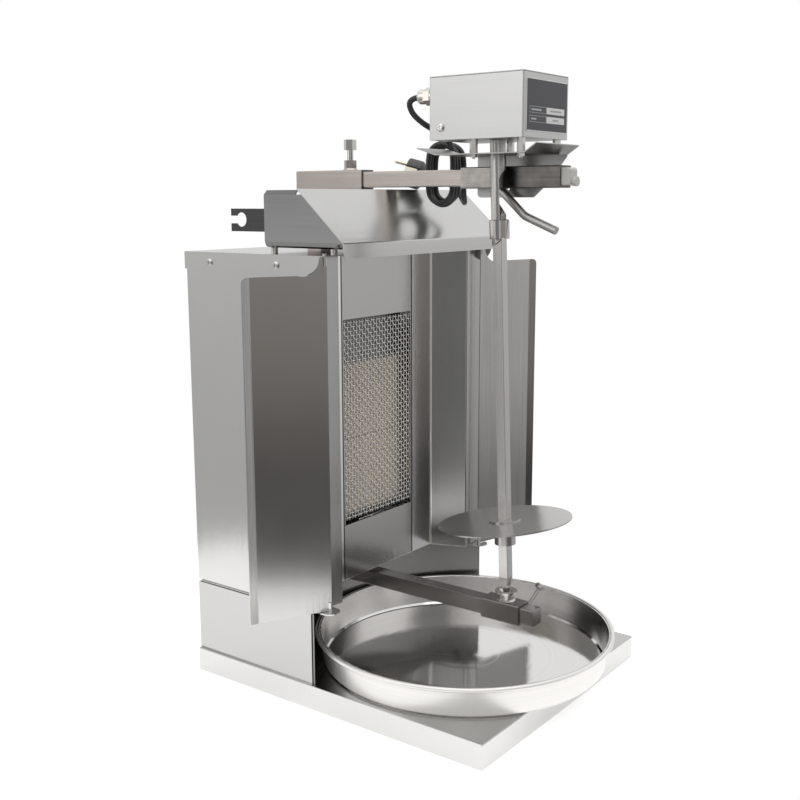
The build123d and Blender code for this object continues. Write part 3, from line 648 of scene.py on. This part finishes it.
def refined(line, stops):
    # the line with extra points at the given distances from its start, and how far along each lies
    lengths = np.r_[0, np.cumsum(np.linalg.norm(np.diff(line, axis=0), axis=1))]
    along = np.unique(np.round(np.r_[lengths, [s for s in stops if s < lengths[-1]]], 6))
    return np.c_[np.interp(along, lengths, line[:, 0]), np.interp(along, lengths, line[:, 1])], along


def quarterDrop(radius, distance):
    # how far a round corner draws in at this distance from its edge
    return radius - np.sqrt(np.clip(radius ** 2 - np.clip(radius - distance, 0, None) ** 2, 0, None))


def quarterStops(radius):
    # distances from the edge at which a round corner has its points, 10 degrees apart
    return radius * (1 - np.cos(np.radians(np.arange(10, 91, 10))))


def foldedSheet(name, line, low, high, thickness, toSpace, finish):
    # a profile carried along the line: at each of its points stand four corners, the point itself
    # and the one a thickness away along the left normal, both at low and at high
    step = np.gradient(line, axis=0)
    step /= np.linalg.norm(step, axis=1)[:, None]
    inner = line + thickness * np.c_[-step[:, 1], step[:, 0]]
    corners = [(inner, low), (inner, high), (line, high), (line, low)]
    rings = [np.stack(toSpace(place[:, 0], place[:, 1], level), -1) for place, level in corners]
    return makePiece(name, np.stack(rings, 1).reshape(-1, 3) / 1000, ringFaces(len(line), 4), finish)


# the folded sheets are in millimetres; this line is x and y
columns = {
    "line": [(73, 62.7), (115.6, 62.7), (134, 15), (177, 22)],
    "low": 121.9,
    "high": 537.6,
    "radius": {"Right": 2.2, "Left": 0.3},
    "thickness": 1.2,
}


def makeColumns(data):
    for name, sign in (("Right", 1), ("Left", -1)):
        line = roundedLine(data["line"], data["radius"][name])
        low, high = np.full(len(line), data["low"]), np.full(len(line), data["high"])
        piece = foldedSheet("column" + name, line, low, high, data["thickness"],
                            lambda x, y, z: (sign * x, y, z), finishes["column"])
        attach(piece, "frame")
        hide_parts("front_column_" + name.lower())


wings = {
    "pivot": (162, 11),
    "before": 2,         # how far the sheet starts before the pivot
    "turns": {"Left": 153, "Right": -16},
    "width": 100,
    "lip": 11,
    "lipTurn": 14,
    "low": 121,
    "ear": 537,          # top beside the pivot
    "high": 517.2,
    "notch": (26, 536, 20),    # middle along and up, and radius
    "notchAngles": (0, 112, 6),    # degrees round its circle, from, to and step
    "notchEnd": 34.84,   # just past where its circle meets the top, from the line's start
    "corners": (6, 3),   # radius of the outer corners, top and bottom
    "radius": 2.5,
    "thickness": 1.2,
}


def makeWings(data):
    # the line runs from the pivot to the lip; the top edge is flat, dips round the notch's circle
    # and ends in a rounded corner
    notchX, notchZ, notchR = data["notch"]
    before, bend, lip = data["before"], data["width"] - data["lip"], data["lip"]
    topCorner, bottomCorner = data["corners"]
    arc = notchX + before - notchR * np.cos(np.radians(np.arange(*data["notchAngles"])))
    for name, side in (("Left", 1), ("Right", -1)):
        tip = np.radians(side * data["lipTurn"])
        half = data["thickness"] / 2
        corners = [(-before, -half), (bend, -half), (bend + lip * np.cos(tip), lip * np.sin(tip) - half)]
        line = roundedLine(corners, data["radius"])
        total = np.linalg.norm(np.diff(line, axis=0), axis=1).sum()
        # one stop a hair before the notch keeps its edge upright
        stops = np.r_[arc[0] - 0.01, arc, data["notchEnd"], total - quarterStops(topCorner)]
        line, along = refined(line, stops)
        x, rest = along - before, along[-1] - along
        dip = notchZ - np.sqrt(np.clip(notchR ** 2 - (x - notchX) ** 2, 0, None))
        top = np.where(x < notchX, dip, np.minimum(dip, data["high"]))
        top = np.where(x < notchX - notchR, data["ear"], top)
        top = np.where(x < notchX + notchR, top, data["high"])
        high = top - quarterDrop(topCorner, rest)
        low = data["low"] + quarterDrop(bottomCorner, rest)
        turn = np.radians(data["turns"][name])
        px, py = -side * data["pivot"][0], data["pivot"][1]
        piece = foldedSheet("wingSheet" + name, line, low, high, data["thickness"],
                            lambda x, y, z: (px + x * np.cos(turn) - y * np.sin(turn),
                                             py + x * np.sin(turn) + y * np.cos(turn), z),
                            finishes["wing" if side > 0 else "wingRight"])
        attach(piece, name.lower() + "_wing")
        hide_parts("wing_" + name.lower())


# the line is y and z
hood = {
    "line": [(-11, 535), (-11, 552), (56.5, 612.5)],
    "left": -155,
    "right": 182,
    "corner": 6,
    "radius": 2.5,
    "thickness": -1.2,
}


def makeHood(data):
    # the lip's lower corners are round: there the sheet's ends draw in along a quarter circle
    line = roundedLine(data["line"], data["radius"])
    line, along = refined(line, quarterStops(data["corner"]))
    draw = quarterDrop(data["corner"], along)
    piece = foldedSheet("hoodSheet", line, data["left"] + draw, data["right"] - draw, data["thickness"],
                        lambda y, z, x: (x, y, z), finishes["hood"])
    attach(piece, "frame")
    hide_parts("hood_front")


makeColumns(columns)
makeWings(wings)
makeHood(hood)
print("folded sheets made")

# rear, in metres, is where the cord enters, and way is where the head points; the rest is in
# millimetres, profiles as radius and height
plugData = {
    "rear": (0.0927, 0.0251, 0.6216),
    "way": (-0.0029, 0.0062, 0.0019),
    "turn": 22,
    "profile": [(0, 0), (3.6, 0), (4.6, 0.4), (5.0, 1.4), (5.2, 4), (5.8, 8), (7.2, 9.6), (9.8, 10.8),
                (11, 12.2), (11.6, 15), (11.9, 19), (12.2, 24), (12.5, 28), (14.2, 29.4), (17, 31),
                (18.1, 32.2), (18.5, 33.6), (18.5, 49.2), (18.2, 50.4), (17.4, 51), (10, 51), (0, 51)],
    "sides": 96,
    "ribs": (12, 0.55, 13, 27),     # number, depth, from and to
    "recess": (4.4, 2.6, 33, 15),   # half width and depth of the grooves, their start, least radius
    "headRadius": 18.5,
    "strip": ((15.4, 16.9), (-3, 3), (35.5, 51.4)),    # a side contact: its reach in x, y and height
    "pinPlace": 9.5,
    "pinSides": 24,
    "pin": [(0, 50.5), (2.4, 50.5), (2.4, 67.6), (2.1, 69), (1.3, 69.8), (0, 70)],
}


def makePlug(data):
    # a profile turned round the axis, x = r cos(a) and y = r sin(a): on the grip r dips by
    # depth * (1 - cos(count * a)) / 2, and where two grooves cross the head it is floor / |cos(a)|
    way = Vector(data["way"]).normalized()
    side = (Vector((-1, 0, 0)) - way * way.dot(Vector((-1, 0, 0)))).normalized()
    roll = Matrix.Rotation(np.radians(data["turn"]), 3, "Z")
    turn = np.array(Matrix((side, way.cross(side), way)).transposed() @ roll)

    def lathe(profile, sides, shape=None):
        angle = np.arange(sides) * 2 * np.pi / sides
        radius = np.array([p[0] for p in profile])[1:-1, None] * np.ones(sides)
        height = np.array([p[1] for p in profile])[1:-1, None] * np.ones(sides)
        if shape:
            radius = shape(radius, height, angle)
        points = np.stack([radius * np.cos(angle), radius * np.sin(angle), height], -1)
        return points.reshape(-1, 3), ringFaces(len(profile) - 2, sides)

    def shaped(radius, height, angle):
        count, depth, low, high = data["ribs"]
        ribbed = (height > low) & (height < high)
        radius = radius - ribbed * depth * (1 - np.cos(count * angle)) / 2
        half, deep, start, least = data["recess"]
        groove = (np.abs(radius * np.sin(angle)) < half) & (height > start) & (radius > least)
        floor = (data["headRadius"] - deep) / np.abs(np.cos(angle))
        return np.where(groove, np.minimum(radius, floor), radius)

    def placed(points):
        return np.array(points) @ turn.T / 1000 + data["rear"]

    body, bodyFaces = lathe(data["profile"], data["sides"], shaped)
    piece = makePiece("plugBody", placed(body), bodyFaces, finishes["plug"])
    metal, metalFaces = [], []
    for place in (-data["pinPlace"], data["pinPlace"]):
        pin, pinFaces = lathe(data["pin"], data["pinSides"])
        metalFaces += [[i + len(metal) for i in face] for face in pinFaces]
        metal += (pin + (0, place, 0)).tolist()
    (x0, x1), (y0, y1), heights = data["strip"]
    strip = [(x, y, z) for z in heights for x, y in ((x0, y0), (x1, y0), (x1, y1), (x0, y1))]
    for sign in (-1, 1):
        metalFaces += ringFaces(2, 4, len(metal))
        metal += [(sign * x, sign * y, z) for x, y, z in strip]
    metalPiece = makePiece("plugMetal", placed(metal), metalFaces, finishes["pin"])
    for new, slot in ((piece, "plug_rubber"), (metalPiece, "nickel")):
        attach(new, "motor_carriage")
    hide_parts("power_plug")
    return [piece, metalPiece]


plugPieces = makePlug(plugData)
print("plug made")


stageData = {
    "tableX": (-0.60, 0.26),
    "tableY": (-0.41, 0.60),
    "tableColour": (0.86, 0.86, 0.86),
    "tableGlow": 0.5,    # seen by the camera and in reflections only
}


def makeStage(data):
    (x0, x1), (y0, y1) = data["tableX"], data["tableY"]
    mesh = bpy.data.meshes.new("table")
    mesh.from_pydata([(x0, y0, 0), (x1, y0, 0), (x1, y1, 0), (x0, y1, 0)], [], [(0, 1, 2, 3)])
    table = bpy.data.objects.new("table", mesh)
    scene.collection.objects.link(table)
    finish = Finish("tablePaper")
    seen = finish.node("LightPath", out="Is Camera Ray") + finish.node("LightPath", out="Is Glossy Ray")
    finish.set({"Base Color": data["tableColour"], "Roughness": 0.9, "Emission Color": (1, 1, 1),
                "Emission Strength": seen * data["tableGlow"]})
    mesh.materials.append(finish.material)


# front and shade are ways from the grill, each with the nearness where it begins and is full;
# lights are stops from 0, straight down, to 1, straight up
studio = {
    "front": (-0.25, -0.968, 0),
    "frontReach": (0.70, 0.95),
    "frontLight": [(0.00, 0.30), (0.33, 0.07), (0.395, 0.05), (0.405, (0.26, 0.225, 0.205)),
                   (0.47, (0.30, 0.285, 0.27)), (0.56, 0.45), (0.70, 0.85)],
    "sideLight": [(0.00, 0.40), (0.36, 0.56), (0.46, 0.64), (0.54, 0.80), (0.70, 0.95)],
    "shade": (-0.995, -0.093, 0),
    "shadeReach": (0.90, 0.975),
    "shadeDepth": 0.65,
}


def makeWorld(data):
    # the camera sees white; reflections see the side light, the front light and a darker patch
    world = bpy.data.worlds.new("studio")
    scene.world = world
    world.use_nodes = True
    world.node_tree.nodes.clear()
    sky = Finish("studio", world.node_tree)
    way = sky.node("TexCoord", out="Generated")
    height = sky.vector("DOT_PRODUCT", way, (0, 0, 1))
    level = height * 0.5 + 0.5

    def towards(direction, reach):
        # 0 away from the direction, rising to 1 near it
        nearness = sky.vector("DOT_PRODUCT", way, direction)
        return sky.node("MapRange", {"interpolation_type": "SMOOTHSTEP"},
                        {"Value": nearness, "From Min": reach[0], "From Max": reach[1]})

    frontLight = sky.node("ValToRGB", {"stops": data["frontLight"]}, {"Fac": level})
    sideLight = sky.node("ValToRGB", {"stops": data["sideLight"]}, {"Fac": level})
    light = sky.mix(towards(data["front"], data["frontReach"]), sideLight, frontLight)
    shade = towards(data["shade"], data["shadeReach"]) * data["shadeDepth"]
    light = sky.vector("SCALE", light, 1.0 - shade)
    seen = sky.node("LightPath", out="Is Camera Ray")
    shown = sky.mix(seen, light, (1, 1, 1))
    sky.node("OutputWorld", sockets={"Surface": sky.node("Background", sockets={"Color": shown})})


lamps = {
    "topLamp": {"place": (-0.3, -0.2, 2.4), "target": (0, 0, 0.3), "size": (2.4, 2.4), "power": 14},
    "leftLamp": {"place": (-1.9, 0.9, 1.3), "target": (0, 0, 0.4), "size": (1.2, 1.4), "power": 4},
}


def makeLamp(name, data):
    lamp = bpy.data.lights.new(name, "AREA")
    lamp.shape = "RECTANGLE"
    lamp.size, lamp.size_y = data["size"]
    lamp.energy = data["power"]
    piece = bpy.data.objects.new(name, lamp)
    piece.location = data["place"]
    piece.rotation_euler = (Vector(data["target"]) - piece.location).to_track_quat("-Z", "Y").to_euler()
    scene.collection.objects.link(piece)


makeStage(stageData)
makeWorld(studio)
for lampName, lampData in lamps.items():
    makeLamp(lampName, lampData)
print("stage and light made")
